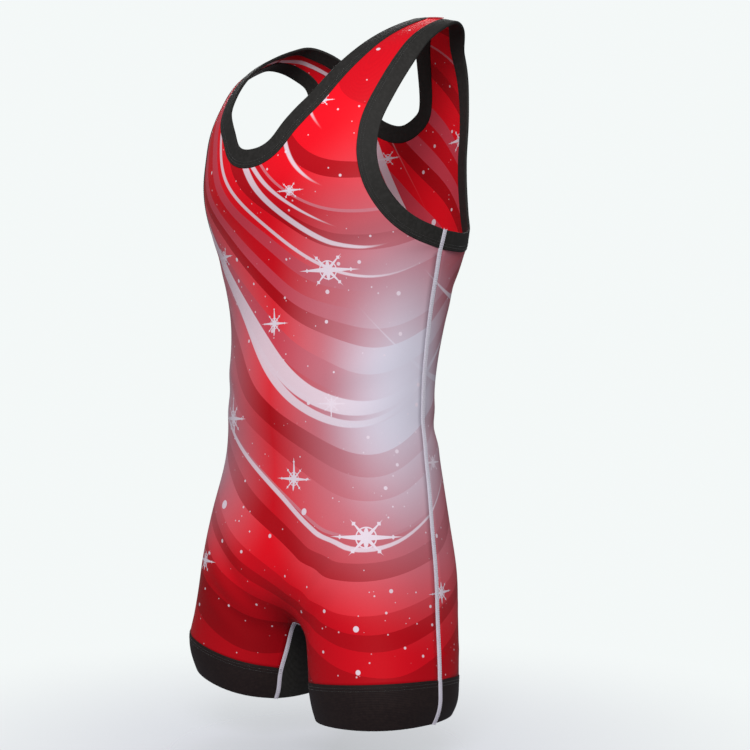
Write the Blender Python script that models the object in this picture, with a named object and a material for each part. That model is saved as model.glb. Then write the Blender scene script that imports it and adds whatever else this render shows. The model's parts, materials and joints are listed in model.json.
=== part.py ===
"""A sleeveless one-piece sports suit with short legs, filled out as it is worn, with no wearer.

Units are metres, +Z is up, -Y is the front and +X is the wearer's left. The origin is where the
shoulders hold the suit up: between the two straps, at the height of their inner faces.

All the cloth lies on one smooth figure: a torso and two thighs that run together. A panel is a set
of rows, and each row goes over the figure from an inner line, such as the front centre, to an outer
line, such as the side seam. The tables give those lines for the left half, row by row from the leg
up to the shoulder, and the right half is its mirror image.
"""

import bmesh
import bpy
import numpy as np

# Cloth
KNIT = 0.0016  # the stretch knit of the panels
TAPE_WIDTH = 0.0200  # binding round the neck and the armholes
TAPE_INNER = -0.0007  # the binding is folded over the knit, so it stands proud on both sides
TAPE_OUTER = 0.0023
BAND = 0.0022  # gripper band at each leg
SEAM_GAP = 0.0004  # between two pieces that are sewn together

# Mesh
PANEL_COLUMNS = 9
GUSSET_COLUMNS = 5
BAND_ROWS = 5
TAPE_ROWS = 3
RELAXING = 12
SETTLING = 5
PROBE = 1e-5
WELD = 1e-6

# Figure
ROUNDNESS = 2.35  # of a thigh's section: 2 is an ellipse, and more is squarer
SHOULDER_BASE = -0.100  # the torso starts to close over the shoulders here
SHOULDER_RISE = 0.119
SHOULDER_ROUNDNESS = 3.0
SHOULDER_Y = 0.070  # the shoulders fall away forwards from here
SHOULDER_FALL = 0.37
SHOULDER_BACK_Y = 0.075  # and backwards from here
SHOULDER_BACK_FALL = 0.40
SEAT_TOP = -0.585  # the torso starts to close under the seat here
SEAT_DROP = 0.082
BODY_SCALE = 0.12  # turns the sections' ratios into rough distances
HIP_BASE = -0.570  # a thigh starts to close inside the torso here
HIP_RISE = 0.110
MERGE = 0.035  # how softly the torso and the thighs run together

# Legs
LEG_X = 0.105  # the middle of a leg opening
LEG_SPREAD = 0.12  # the rise of a leg opening towards its outer side, for each metre
LEG_TILT = 0.07  # its rise towards the front
BAND_TOP = -0.719
HEM = -0.759
HEM_SPREAD = 0.050  # the hem slopes less than the top of its band
HEM_TILT = 0.0
RIGHT_HITCH = 0.175  # the right leg's opening rises this much more towards its outer side
HITCH_TOP = -0.600
HITCH_DEPTH = 0.175


def table(columns, *rows):
    """A dictionary of arrays, one for each named column."""
    return dict(zip(columns.split(), np.array(rows, float).T))


TORSO = table(
    "height middle half_width front back roundness",
    (-0.800, 0.012, 0.155, 0.090, 0.110, 2.35),
    (-0.640, 0.014, 0.152, 0.093, 0.110, 2.35),
    (-0.570, 0.017, 0.145, 0.088, 0.105, 2.35),
    (-0.500, 0.022, 0.137, 0.085, 0.096, 2.35),
    (-0.415, 0.022, 0.132, 0.094, 0.084, 2.35),
    (-0.320, 0.034, 0.140, 0.098, 0.088, 2.35),
    (-0.240, 0.040, 0.159, 0.119, 0.101, 2.35),
    (-0.180, 0.038, 0.168, 0.138, 0.108, 2.20),
    (-0.120, 0.040, 0.172, 0.134, 0.106, 2.10),
    (-0.060, 0.048, 0.182, 0.136, 0.099, 2.12),
    (-0.020, 0.058, 0.218, 0.142, 0.090, 2.20),
    (0.020, 0.062, 0.250, 0.130, 0.088, 2.35),
)

THIGH = table(
    "height centre_x centre_y half_width half_depth",
    (-0.780, 0.1035, 0.000, 0.058, 0.061),
    (-0.762, 0.1035, 0.000, 0.0675, 0.0705),
    (-0.748, 0.1035, 0.002, 0.0735, 0.0765),
    (-0.730, 0.1025, 0.002, 0.0750, 0.080),
    (-0.690, 0.0970, 0.007, 0.0745, 0.084),
    (-0.640, 0.0890, 0.012, 0.073, 0.089),
    (-0.560, 0.0780, 0.010, 0.066, 0.076),
    (-0.480, 0.0720, 0.012, 0.055, 0.062),
)

FRONT = table(
    "rows inner_x inner_y inner_z outer_x outer_y outer_z",
    (2, 0.030, -0.028, -0.717, 0.179, 0.006, -0.706),
    (1, 0.025, -0.023, -0.697, 0.175, 0.010, -0.685),
    (2, 0.018, -0.023, -0.680, 0.170, 0.014, -0.658),
    (1, 0.000, -0.034, -0.664, 0.166, 0.017, -0.630),
    (2, 0.000, -0.066, -0.638, 0.163, 0.018, -0.600),
    (3, 0.000, -0.083, -0.590, 0.155, 0.021, -0.555),
    (4, 0.000, -0.075, -0.515, 0.141, 0.028, -0.500),
    (4, 0.000, -0.067, -0.415, 0.130, 0.030, -0.410),
    (3, 0.000, -0.065, -0.320, 0.139, 0.033, -0.328),
    (3, 0.000, -0.082, -0.245, 0.157, 0.031, -0.252),
    (2, 0.000, -0.097, -0.202, 0.147, -0.017, -0.238),
    (1, 0.000, -0.101, -0.1635, 0.135, -0.043, -0.215),
    (1, 0.018, -0.101, -0.162, 0.128, -0.057, -0.193),
    (2, 0.036, -0.099, -0.154, 0.123, -0.060, -0.170),
    (2, 0.054, -0.089, -0.132, 0.121, -0.058, -0.144),
    (2, 0.069, -0.079, -0.115, 0.123, -0.053, -0.119),
    (2, 0.082, -0.067, -0.099, 0.128, -0.041, -0.094),
    (2, 0.094, -0.046, -0.070, 0.132, -0.023, -0.066),
    (2, 0.103, -0.022, -0.046, 0.135, -0.001, -0.040),
    (3, 0.110, 0.008, -0.019, 0.137, 0.020, -0.018),
    (0, 0.114, 0.062, 0.007, 0.135, 0.062, 0.002),
)

BACK = table(
    "rows inner_x inner_y inner_z outer_x outer_y outer_z",
    (2, 0.030, 0.033, -0.717, 0.179, 0.006, -0.706),
    (1, 0.025, 0.034, -0.697, 0.175, 0.010, -0.685),
    (2, 0.018, 0.040, -0.680, 0.170, 0.014, -0.658),
    (1, 0.000, 0.050, -0.664, 0.166, 0.017, -0.630),
    (2, 0.000, 0.090, -0.645, 0.163, 0.018, -0.600),
    (3, 0.000, 0.119, -0.595, 0.155, 0.021, -0.555),
    (4, 0.000, 0.114, -0.515, 0.141, 0.028, -0.500),
    (4, 0.000, 0.105, -0.415, 0.130, 0.030, -0.410),
    (3, 0.000, 0.122, -0.325, 0.139, 0.033, -0.328),
    (3, 0.000, 0.140, -0.240, 0.157, 0.031, -0.252),
    (2, 0.000, 0.141, -0.205, 0.150, 0.077, -0.251),
    (2, 0.000, 0.141, -0.170, 0.136, 0.104, -0.242),
    (2, 0.000, 0.140, -0.135, 0.1195, 0.116, -0.225),
    (1, 0.000, 0.139, -0.102, 0.112, 0.127, -0.201),
    (1, 0.017, 0.138, -0.099, 0.106, 0.130, -0.174),
    (2, 0.033, 0.138, -0.092, 0.106, 0.130, -0.148),
    (2, 0.049, 0.136, -0.078, 0.109, 0.128, -0.120),
    (2, 0.057, 0.134, -0.056, 0.111, 0.128, -0.088),
    (2, 0.065, 0.128, -0.028, 0.111, 0.127, -0.052),
    (2, 0.080, 0.110, 0.001, 0.110, 0.114, -0.013),
    (2, 0.101, 0.083, 0.009, 0.124, 0.090, 0.002),
    (0, 0.114, 0.062, 0.007, 0.135, 0.062, 0.002),
)
CROTCH = 3  # stations in both tables
UNDERARM = 9
FRONT_NECK = 11
BACK_NECK = 13


def smooth(heights, values, z):
    """A table's values at the heights z, on a curve that levels out past its ends."""
    slopes = np.gradient(values, heights)
    row = np.clip(np.searchsorted(heights, z) - 1, 0, len(heights) - 2)
    step = heights[row + 1] - heights[row]
    t = np.clip((z - heights[row]) / step, 0, 1)
    rise = t * t * (3 - 2 * t)
    leave = t * (1 - t) ** 2 * step * slopes[row]
    arrive = t * t * (1 - t) * step * slopes[row + 1]
    return values[row] * (1 - rise) + values[row + 1] * rise + leave - arrive


def torso(p):
    x, y, z = p.T
    names = ("middle", "half_width", "front", "back", "roundness")
    middle, half_width, front, back, n = (smooth(TORSO["height"], TORSO[k], z) for k in names)
    fallen = z + SHOULDER_FALL * np.clip(SHOULDER_Y - y, 0, None)
    fallen = fallen + SHOULDER_BACK_FALL * np.clip(y - SHOULDER_BACK_Y, 0, None)
    shoulder = np.clip(fallen - SHOULDER_BASE, 0, None) / SHOULDER_RISE
    y = y - middle
    seat = np.clip(SEAT_TOP - z, 0, None) / SEAT_DROP
    parts = (np.abs(x) / half_width, np.abs(y) / np.where(y < 0, front, back), seat)
    total = sum(part**n for part in parts) + shoulder**SHOULDER_ROUNDNESS
    return (total ** (1 / n) - 1) * BODY_SCALE


def leg_level(p):
    """The height on a leg, whose opening slopes up to its outer side and to the front."""
    return p[:, 2] - LEG_SPREAD * (np.abs(p[:, 0]) - LEG_X) + LEG_TILT * p[:, 1]


def thigh(p, side):
    level = leg_level(p)
    centre_x, centre_y, half_width, half_depth = (
        smooth(THIGH["height"], THIGH[name], level)
        for name in ("centre_x", "centre_y", "half_width", "half_depth")
    )
    across = np.abs(p[:, 0] - side * centre_x) / half_width
    along = np.abs(p[:, 1] - centre_y) / half_depth
    above = np.clip(level - HIP_BASE, 0, None) / HIP_RISE
    total = across**ROUNDNESS + along**ROUNDNESS + above**ROUNDNESS
    return (total ** (1 / ROUNDNESS) - 1) * half_width


def run_together(a, b):
    near = np.clip(MERGE - np.abs(a - b), 0, None) / MERGE
    return np.minimum(a, b) - near * near * MERGE / 4


def figure(p):
    """A rough distance from the figure's surface, negative inside it."""
    return run_together(torso(p), run_together(thigh(p, 1), thigh(p, -1)))


def slope(p):
    steps = [figure(p + PROBE * axis) - figure(p - PROBE * axis) for axis in np.eye(3)]
    return np.stack(steps, axis=-1) / (2 * PROBE)


def unit(v):
    return v / np.linalg.norm(v, axis=-1, keepdims=True)


def outward(p):
    return unit(slope(p.reshape(-1, 3))).reshape(p.shape)


def settle(p):
    """The points p moved the short way onto the figure."""
    q = p.reshape(-1, 3)
    for _ in range(SETTLING):
        g = slope(q)
        q = q - (figure(q) / (g**2).sum(axis=1))[:, None] * g
    return q.reshape(p.shape)


def row_of(rows, station):
    """The number of the panel's row at a station of its table."""
    return int(rows["rows"][:station].sum())


def guide(rows, edge, corners):
    """A table's line, row by row, smooth except at the corners, which are stations."""
    last = len(rows["rows"]) - 1
    points = []
    for first, end in zip((0, *corners), (*corners, last)):
        stations = np.array([row_of(rows, i) for i in range(first, end + 1)])
        at = np.arange(stations[0], stations[-1] + (end == last))
        columns = [rows[f"{edge}_{axis}"][first : end + 1] for axis in "xyz"]
        points.append(np.stack([smooth(stations, column, at) for column in columns], axis=1))
    return settle(np.vstack(points))


def panel(rows, neck, bulge):
    """A grid of points over the figure between a table's two lines. The inner line is the centre
    line from the crotch to the neck. Each row goes round by way of its middle, which starts bulge
    times the row's length behind its chord."""
    inner = guide(rows, "inner", (CROTCH, neck))
    outer = guide(rows, "outer", (UNDERARM,))
    inner[row_of(rows, CROTCH) : row_of(rows, neck) + 1, 0] = 0
    length = np.linalg.norm(outer - inner, axis=1)
    middle = settle((inner + outer) / 2 + np.outer(bulge * length, (0, 1, 0)))
    grid = relaxed(bowed(inner, middle, outer, PANEL_COLUMNS))
    grid[0] = on_leg(grid[0], BAND_TOP)
    return grid


def bowed(inner, middle, outer, columns):
    """A grid over the figure from one line to another by way of a middle line."""
    t = np.linspace(0, 1, columns)[:, None]
    ends = inner[:, None] * (1 - t) * (1 - 2 * t) + outer[:, None] * t * (2 * t - 1)
    grid = settle(ends + middle[:, None] * 4 * t * (1 - t))
    grid[:, 0], grid[:, -1] = inner, outer
    return grid


def relaxed(grid):
    """The grid with its inner points, and those along its two end rows, evened out."""
    for _ in range(RELAXING):
        around = grid[:-2, 1:-1] + grid[2:, 1:-1] + grid[1:-1, :-2] + grid[1:-1, 2:]
        grid[1:-1, 1:-1] = settle((grid[1:-1, 1:-1] + around / 4) / 2)
        for row in (grid[0], grid[-1]):
            row[1:-1] = settle((row[1:-1] * 2 + row[:-2] + row[2:]) / 4)
    return grid


def on_leg(line, level):
    """The points of a line round the left leg, moved along the leg to a level of its opening."""

    def centre(height):
        names = ("centre_x", "centre_y")
        return np.stack([smooth(THIGH["height"], THIGH[n], height) for n in names], axis=-1)

    lower = np.clip((BAND_TOP - level) / (BAND_TOP - HEM), 0, 1)
    spread = LEG_SPREAD + (HEM_SPREAD - LEG_SPREAD) * lower
    tilt = LEG_TILT + (HEM_TILT - LEG_TILT) * lower
    moved = line.copy()
    away = line[:, :2] - centre(leg_level(line))
    for _ in range(SETTLING):
        moved[:, :2] = centre(np.full(len(line), level)) + away
        moved[:, 2] = level + spread * (moved[:, 0] - LEG_X) - tilt * moved[:, 1]
        half_width = smooth(THIGH["height"], THIGH["half_width"], np.full(len(line), level))
        away = away / (1 + thigh(moved, 1) / half_width)[:, None]
    return moved


def tape(line, mirrored):
    """A grid that starts at a line on the figure and goes over it to the line's left. The line
    closes on itself, or on its mirror image."""
    flip = np.array([-1, 1, 1]) if mirrored else np.ones(3)
    before, after = (line[1] * flip, line[-2] * flip) if mirrored else (line[-2], line[1])
    along = np.gradient(line, axis=0)
    along[0] = line[1] - before
    along[-1] = (after if mirrored else line[1]) - line[-2]
    rows = [line]
    for _ in range(TAPE_ROWS):
        side = unit(np.cross(outward(rows[-1]), along))
        rows.append(settle(rows[-1] + side * TAPE_WIDTH / TAPE_ROWS))
    grid = np.stack(rows)
    if mirrored:
        grid[:, [0, -1], 0] = 0
    return grid


def hitched(p):
    """The points p with those on the right leg drawn up, most at its outer side."""
    t = np.clip((HITCH_TOP - p[:, 2]) / HITCH_DEPTH, 0, 1)
    out = np.clip(-p[:, 0], 0, None)
    return p + np.outer(RIGHT_HITCH * out * t * t * (3 - 2 * t), (0, 0, 1))


def mirror(grid):
    return grid * (-1, 1, 1)


def turned(quads):
    """The quads facing the other way, still cut in two along the same diagonal."""
    return quads[:, [0, 3, 2, 1]]


def mesh_of(grids):
    """The points and the quads, anticlockwise from outside, of grids joined where they meet."""
    points, quads = np.zeros((0, 3)), np.zeros((0, 4), int)
    for grid in grids:
        rows, columns = grid.shape[:2]
        corner = (np.arange(rows - 1)[:, None] * columns + np.arange(columns - 1)).ravel()
        four = np.stack([corner, corner + 1, corner + columns + 1, corner + columns], axis=1)
        flat = grid.reshape(-1, 3)
        a, b, _, d = flat[four].transpose(1, 0, 2)
        inward = (np.cross(b - a, d - a) * outward(a)).sum() < 0
        quads = np.vstack([quads, (turned(four) if inward else four) + len(points)])
        points = np.vstack([points, flat])
    _, first, same = np.unique(
        np.round(points / WELD).astype(int), axis=0, return_index=True, return_inverse=True
    )
    return points[first], same.ravel()[quads]


def border(quads):
    """The edges that one quad uses, in that quad's direction."""
    edges = np.vstack([quads[:, [i, (i + 1) % 4]] for i in range(4)])
    used = {tuple(edge) for edge in edges.tolist()}
    return np.array([edge for edge in edges.tolist() if (edge[1], edge[0]) not in used])


def drawn_in(points, quads, distance):
    """The points with those on the border moved over the surface into the cloth."""
    start, end = border(quads).T
    left = unit(np.cross(outward(points[start]), points[end] - points[start]))
    leaving, arriving = np.zeros_like(points), np.zeros_like(points)
    leaving[start], arriving[end] = left, left
    both = leaving + arriving
    share = 1 + (leaving * arriving).sum(axis=1, keepdims=True)
    return points + distance * both / share


def sewn_piece(name, grids, low, high, colour):
    """A piece of cloth from low to high above the figure, with its seams' gap taken off."""
    points, quads = mesh_of(grids)
    points = drawn_in(points, quads, SEAM_GAP / 2)
    points[np.abs(points[:, 0]) < WELD, 0] = 0
    away = outward(points)
    start, end = border(quads).T
    count = len(points)
    corners = np.vstack([points + away * high, points + away * low])
    rim = np.stack([end, start, start + count, end + count], axis=1)
    faces = np.vstack([quads, turned(quads) + count, rim])
    mesh = bpy.data.meshes.new(name)
    mesh.from_pydata(hitched(corners).tolist(), [], faces.tolist())
    bm = bmesh.new()
    bm.from_mesh(mesh)
    bmesh.ops.recalc_face_normals(bm, faces=bm.faces)
    bm.to_mesh(mesh)
    bm.free()
    material = bpy.data.materials.new(f"{name}_cloth")
    material.use_nodes = True
    shader = material.node_tree.nodes["Principled BSDF"]
    shader.inputs["Base Color"].default_value = (*colour, 1)
    shader.inputs["Roughness"].default_value = 0.75
    mesh.materials.append(material)
    piece = bpy.data.objects.new(name, mesh)
    bpy.context.scene.collection.objects.link(piece)


for old in list(bpy.data.objects):
    bpy.data.objects.remove(old, do_unlink=True)

RED = (0.60, 0.015, 0.030)
BLACK = (0.022, 0.020, 0.018)

front = panel(FRONT, FRONT_NECK, -0.45)
back = panel(BACK, BACK_NECK, 0.45)
front[-1] = back[-1] = settle((front[-1] + back[-1]) / 2)  # the shoulder seam
sewn_piece("front_panel", [front, mirror(front)], 0, KNIT, RED)
sewn_piece("back_panel", [back, mirror(back)], 0, KNIT, RED)

levels = np.linspace(BAND_TOP, HEM, BAND_ROWS)
front_band, back_band = (np.stack([on_leg(g[0], level) for level in levels]) for g in (front, back))
for where, band in (("front", front_band), ("back", back_band)):
    sewn_piece(f"hem_band_{where}_left", [band], 0, BAND, BLACK)
    sewn_piece(f"hem_band_{where}_right", [mirror(band)], 0, BAND, BLACK)

crotch = row_of(FRONT, CROTCH)
seam_ahead = np.vstack([front[crotch::-1, 0], front_band[1:, 0]])
seam_behind = np.vstack([back[crotch::-1, 0], back_band[1:, 0]])
seam_between = settle((seam_ahead + seam_behind) / 2)
gusset = bowed(seam_ahead, seam_between, seam_behind, GUSSET_COLUMNS)
gusset[0, :, 0] = 0
for row, level in zip(range(crotch, len(gusset)), levels):
    gusset[row] = on_leg(gusset[row], level)
sewn_piece("crotch_gusset", [gusset, mirror(gusset)], 0, KNIT, BLACK)

neck_ahead = front[row_of(FRONT, FRONT_NECK) :, 0]
neck_behind = back[row_of(BACK, BACK_NECK) : -1, 0]
arm_ahead = front[row_of(FRONT, UNDERARM) : -1, -1]
arm_behind = back[row_of(BACK, UNDERARM) :, -1]
neck_line = np.vstack([neck_ahead, neck_behind[::-1]])
arm_line = np.vstack([arm_behind, arm_ahead[::-1]])
neck_tape, arm_tape = tape(neck_line, True), tape(arm_line, False)
sewn_piece("neck_binding", [neck_tape, mirror(neck_tape)], TAPE_INNER, TAPE_OUTER, BLACK)
sewn_piece("armhole_binding_left", [arm_tape], TAPE_INNER, TAPE_OUTER, BLACK)
sewn_piece("armhole_binding_right", [mirror(arm_tape)], TAPE_INNER, TAPE_OUTER, BLACK)
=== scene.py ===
# %% [markdown]
# # A wrestling singlet, filled out as it is worn
# A singlet is a sleeveless stretch suit. Its front and its back are one piece each, joined at the
# sides by a flat seam of pale thread. A dark saddle of knit closes it between the legs, wide
# elastic bands hold the legs down, and a folded binding edges the neck and the armholes.
#
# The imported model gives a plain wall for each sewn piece. This lesson turns each one into cloth: it
# copies the wall's outer skin, subdivides it, gives it small folds, and thickens it again.

import heapq
import json
import math
from functools import partial
from itertools import permutations

import bmesh
import bpy
import numpy as np
from mathutils import Matrix, Vector
from mathutils.kdtree import KDTree

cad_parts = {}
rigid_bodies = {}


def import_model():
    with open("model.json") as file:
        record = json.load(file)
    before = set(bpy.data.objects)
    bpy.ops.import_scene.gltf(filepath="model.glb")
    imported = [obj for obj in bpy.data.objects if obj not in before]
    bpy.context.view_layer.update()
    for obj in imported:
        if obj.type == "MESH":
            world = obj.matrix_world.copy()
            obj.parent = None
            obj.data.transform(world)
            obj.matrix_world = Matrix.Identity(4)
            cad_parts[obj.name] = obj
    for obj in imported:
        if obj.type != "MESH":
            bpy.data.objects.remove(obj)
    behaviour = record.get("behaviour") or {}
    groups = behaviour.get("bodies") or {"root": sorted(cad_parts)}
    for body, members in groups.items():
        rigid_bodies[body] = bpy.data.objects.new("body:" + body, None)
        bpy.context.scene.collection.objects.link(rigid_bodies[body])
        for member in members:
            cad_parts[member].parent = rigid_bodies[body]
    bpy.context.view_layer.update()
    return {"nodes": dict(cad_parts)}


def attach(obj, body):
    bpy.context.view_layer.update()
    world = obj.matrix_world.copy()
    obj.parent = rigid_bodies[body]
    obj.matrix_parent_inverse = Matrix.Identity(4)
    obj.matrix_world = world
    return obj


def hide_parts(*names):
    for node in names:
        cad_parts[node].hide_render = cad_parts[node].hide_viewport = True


for old in list(bpy.data.objects):
    bpy.data.objects.remove(old, do_unlink=True)
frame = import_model()
print("nodes:", sorted(frame["nodes"]))

# %% Make a mesh or an object
def mesh_of(bm, name):
    """A mesh made from a bmesh, which is freed."""
    mesh = bpy.data.meshes.new(name)
    bm.to_mesh(mesh)
    bm.free()
    return mesh


def show(name, data):
    """A new object in the scene that holds the data."""
    thing = bpy.data.objects.new(name, data)
    bpy.context.scene.collection.objects.link(thing)
    return thing


# %% [markdown]
# ## Helpers for trees of nodes
# The paper, the floor and every finish get their look from a tree of nodes. Effects that several
# finishes share are node groups, which put out a mask, a colour or a height only. A few short
# helpers keep the trees readable.

# %% Node helpers
def feed(tree, socket, value):
    """Gives a socket a value, or links another node's output to it."""
    if isinstance(value, bpy.types.NodeSocket):
        tree.links.new(value, socket)
    elif value is not None:
        socket.default_value = value


def put(tree, kind, *inputs, named=None, **settings):
    """A node, with its inputs in order or by their names. None leaves an input as it is."""
    node = tree.nodes.new("ShaderNode" + kind)
    for key, value in settings.items():
        setattr(node, key, value)
    for socket, value in zip(node.inputs, inputs):
        feed(tree, socket, value)
    for name, value in (named or {}).items():
        feed(tree, node.inputs[name], value)
    return node


def calc(tree, operation, *values):
    """The output of a Math node."""
    return put(tree, "Math", *values, operation=operation).outputs[0]


def calc_vector(tree, operation, *values, **named):
    """The output of a Vector Math node, which is a number for a distance or a length."""
    node = put(tree, "VectorMath", *values, named=named, operation=operation)
    return node.outputs["Value" if operation in ("DISTANCE", "LENGTH") else "Vector"]


def soft_step(tree, value, low, high):
    """0 below low and 1 above high, smooth between them; the other way round if low > high."""
    step = put(tree, "MapRange", value, low, high, interpolation_type="SMOOTHSTEP")
    return step.outputs["Result"]


def blend_colours(tree, share, below, above):
    """A colour mixed from two by a share. The two are the Mix node's inputs 6 and 7."""
    of_other_kinds = [None] * 5
    mix = put(tree, "Mix", share, *of_other_kinds, below, above, data_type="RGBA")
    return mix.outputs[2]


def ramp(tree, share, stops):
    """The colour of the last stop before the share; stops are (place, colour)."""
    node = put(tree, "ValToRGB", share)
    node.color_ramp.interpolation = "CONSTANT"
    points = node.color_ramp.elements
    points[1].position = 1.0
    for place, colour in stops[1:-1]:
        points.new(place)
    for point, (place, colour) in zip(points, stops):
        point.position = place
        point.color = (*colour, 1)
    return node.outputs["Color"]


def new_group(name, vectors, floats, outputs, kind="Float"):
    """A node group with named sockets: its tree, what it is given and what it puts out."""
    tree = bpy.data.node_groups.new(name, "ShaderNodeTree")
    sides = (("INPUT", vectors, "Vector"), ("INPUT", floats, "Float"), ("OUTPUT", outputs, kind))
    for way, sockets, holds in sides:
        for socket in sockets:
            tree.interface.new_socket(socket, in_out=way, socket_type=f"NodeSocket{holds}")
    given, out = tree.nodes.new("NodeGroupInput"), tree.nodes.new("NodeGroupOutput")
    return tree, given.outputs, out.inputs


def use(tree, group, *inputs):
    """The output of a group placed in a tree."""
    return put(tree, "Group", *inputs, node_tree=group).outputs[0]


def finish(name, **fixed):
    """A new material with these fixed values: itself, its tree and its Principled sockets."""
    material = bpy.data.materials.new(name)
    material.use_nodes = True
    look = material.node_tree.nodes["Principled BSDF"].inputs
    for key, value in fixed.items():
        look[key.replace("_", " ")].default_value = value
    return material, material.node_tree, look


def emboss(tree, look, height, strength, depth):
    """Raises a pattern on a finish, by its height between 0 and 1."""
    bump = put(tree, "Bump", named={"Strength": strength, "Distance": depth, "Height": height})
    feed(tree, look["Normal"], bump.outputs["Normal"])


# %% [markdown]
# ## The studio
# Such suits are sold on an invisible figure in front of near-white paper. The camera looks at the
# front and the wearer's left side from the height of the waist. The light is broad and soft, with a
# stronger side, so that the chest glows and the inner legs fall into shade. A lens a little above
# the normal length keeps the straps and the hems from spreading.

# %% Camera
TURN = math.radians(43)
CAMERA_DISTANCE = 1.48
FOCAL_PIXELS = 1298
IMAGE_PIXELS = 750
SENSOR = 36.0
AIM_SIDE = 0.066
AIM_HEIGHT = -0.4125
HORIZON_ROW = 397

right = Vector((math.cos(TURN), math.sin(TURN), 0))
back = Vector((math.sin(TURN), -math.cos(TURN), 0))
up = Vector((0, 0, 1))
camera_data = bpy.data.cameras.new("camera")
camera_data.sensor_fit = "HORIZONTAL"
camera_data.sensor_width = SENSOR
camera_data.lens = SENSOR * FOCAL_PIXELS / IMAGE_PIXELS
camera_data.shift_y = (HORIZON_ROW - IMAGE_PIXELS / 2) / IMAGE_PIXELS
camera = show("camera", camera_data)
bpy.context.scene.camera = camera
place = Matrix.Translation(back * CAMERA_DISTANCE + right * AIM_SIDE + up * AIM_HEIGHT)
camera.matrix_world = place @ Matrix((right, up, back)).transposed().to_4x4()
print(f"lens {camera_data.lens:.1f} mm, shift {camera_data.shift_y:.4f}")

# %% Square lights that look at the middle of the suit
LIGHTS = (
    # name, turn and rise in degrees, distance and size in metres, watts
    ("key", 42, 28, 2.3, 1.1, 54),
    ("far_side", -28, 12, 2.6, 1.2, 7),
    ("back", 222, 30, 2.4, 1.4, 38),
)
bpy.context.scene.view_settings.view_transform = "Standard"
for name, turn, rise, distance, size, watts in LIGHTS:
    light = bpy.data.lights.new(name, "AREA")
    light.size = size
    light.energy = watts
    lamp = show(name, light)
    a, e = math.radians(turn), math.radians(rise)
    way = Vector((math.sin(a) * math.cos(e), -math.cos(a) * math.cos(e), math.sin(e)))
    lamp.location = way * distance + Vector((0, 0, AIM_HEIGHT))
    lamp.rotation_euler = way.to_track_quat("Z", "Y").to_euler()
print(len(LIGHTS), "soft lights")

# %% The paper's own light
SEEN_PAPER = (0.905, 0.94, 0.935, 1)
GIVEN_LIGHT = (0.93, 0.95, 1.0, 1)
GIVEN_STRENGTH = 0.27

world = bpy.data.worlds.new("paper_light")
world.use_nodes = True
sky = world.node_tree
given = sky.nodes["Background"]
feed(sky, given.inputs["Color"], GIVEN_LIGHT)
feed(sky, given.inputs["Strength"], GIVEN_STRENGTH)
seen = put(sky, "Background", SEEN_PAPER)
from_camera = put(sky, "LightPath").outputs["Is Camera Ray"]
either = put(sky, "MixShader", from_camera, given.outputs[0], seen.outputs[0])
feed(sky, sky.nodes["World Output"].inputs["Surface"], either.outputs[0])
bpy.context.scene.world = world

# %% Floor, a painted soft shade at the suit's foot, which thins out into the paper behind it
FLOOR = -0.812
FLOOR_RADIUS = 6.0
FLOOR_SIDES = 96
# the floor's colour is a painted soft shade, darkest at the suit's foot
FLOOR_SHADE_COLOUR = (0.42, 0.415, 0.52, 1)
FADE = (-0.15, 0.72)  # metres from the suit's foot, where the floor starts and ends to thin out
THICKEST = 0.6  # the floor's share at the start

bm = bmesh.new()
under_suit = Matrix.Translation((0, 0, FLOOR))
bmesh.ops.create_circle(
    bm, cap_ends=True, segments=FLOOR_SIDES, radius=FLOOR_RADIUS, matrix=under_suit
)
floor = show("floor", mesh_of(bm, "floor"))
floor_painted_shade, tree, paper = finish(
    "floor_painted_shade", Base_Color=FLOOR_SHADE_COLOUR, Roughness=0.85, Specular_IOR_Level=0.1
)
# the painted shade fades out with the distance from the suit's foot
spot = put(tree, "TexCoord").outputs["Object"]
thins = put(
    tree, "MapRange", calc_vector(tree, "DISTANCE", spot, (0, 0, FLOOR)), *FADE, THICKEST, 0.0,
    interpolation_type="SMOOTHSTEP",
)
feed(tree, paper["Alpha"], thins.outputs["Result"])
floor.data.materials.append(floor_painted_shade)
print("floor at", FLOOR)

# %% [markdown]
# ## Skins
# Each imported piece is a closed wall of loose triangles. For cloth, one skin is better than a wall:
# it can be subdivided and folded, and Solidify then gives both faces the same folds. So the
# triangles are merged and joined to quads, and the faces are sorted into islands across their
# smooth edges. The two widest islands are the wall's two skins, and the outer one is the one that
# faces away from the hollow inside the suit. At the lower back corners of the armholes a few narrow
# triangles fold back on each other, which would tear the skin, so their places are filled anew.

# %% Take the outer skin of a wall
MERGE = 1e-5
RIM_ANGLE = math.radians(50)  # an edge that bends more ends an island
FOLDED = math.radians(130)  # and at one that bends more than this a skin folds back on itself
RIM_EDGE = 0.0022  # a shorter edge crosses the rim
TRUNK_BOTTOM = -0.60
TRUNK_Y = 0.03
LEG_MIDDLE = (0.09, 0.005)
LOOK_UP = 0.03  # a leg's skin is looked at from a little above
JOINING = ((20, 30), (40, 50), (60, 90), (180, 180))  # degrees of bend and slant, in rounds


def islands(bm):
    """The faces in groups that are joined by smooth edges, the widest group first."""
    unseen, groups = set(bm.faces), []
    while unseen:
        group, edge_of_group = [], [unseen.pop()]
        while edge_of_group:
            face = edge_of_group.pop()
            group.append(face)
            for edge in face.edges:
                if len(edge.link_faces) == 2 and edge.calc_face_angle() < RIM_ANGLE:
                    near = [f for f in edge.link_faces if f in unseen]
                    unseen.difference_update(near)
                    edge_of_group.extend(near)
        groups.append(group)
    return sorted(groups, key=lambda g: -sum(f.calc_area() for f in g))


def facing_out(faces):
    """How much a group of faces turns away from the middle of the trunk or of the leg beside it."""
    total = 0.0
    for face in faces:
        p = face.calc_center_median()
        inside = Vector((0, TRUNK_Y, p.z))
        if p.z < TRUNK_BOTTOM:
            inside = Vector((math.copysign(LEG_MIDDLE[0], p.x), LEG_MIDDLE[1], p.z + LOOK_UP))
        total += face.calc_area() * face.normal.dot(p - inside)
    return total


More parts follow.
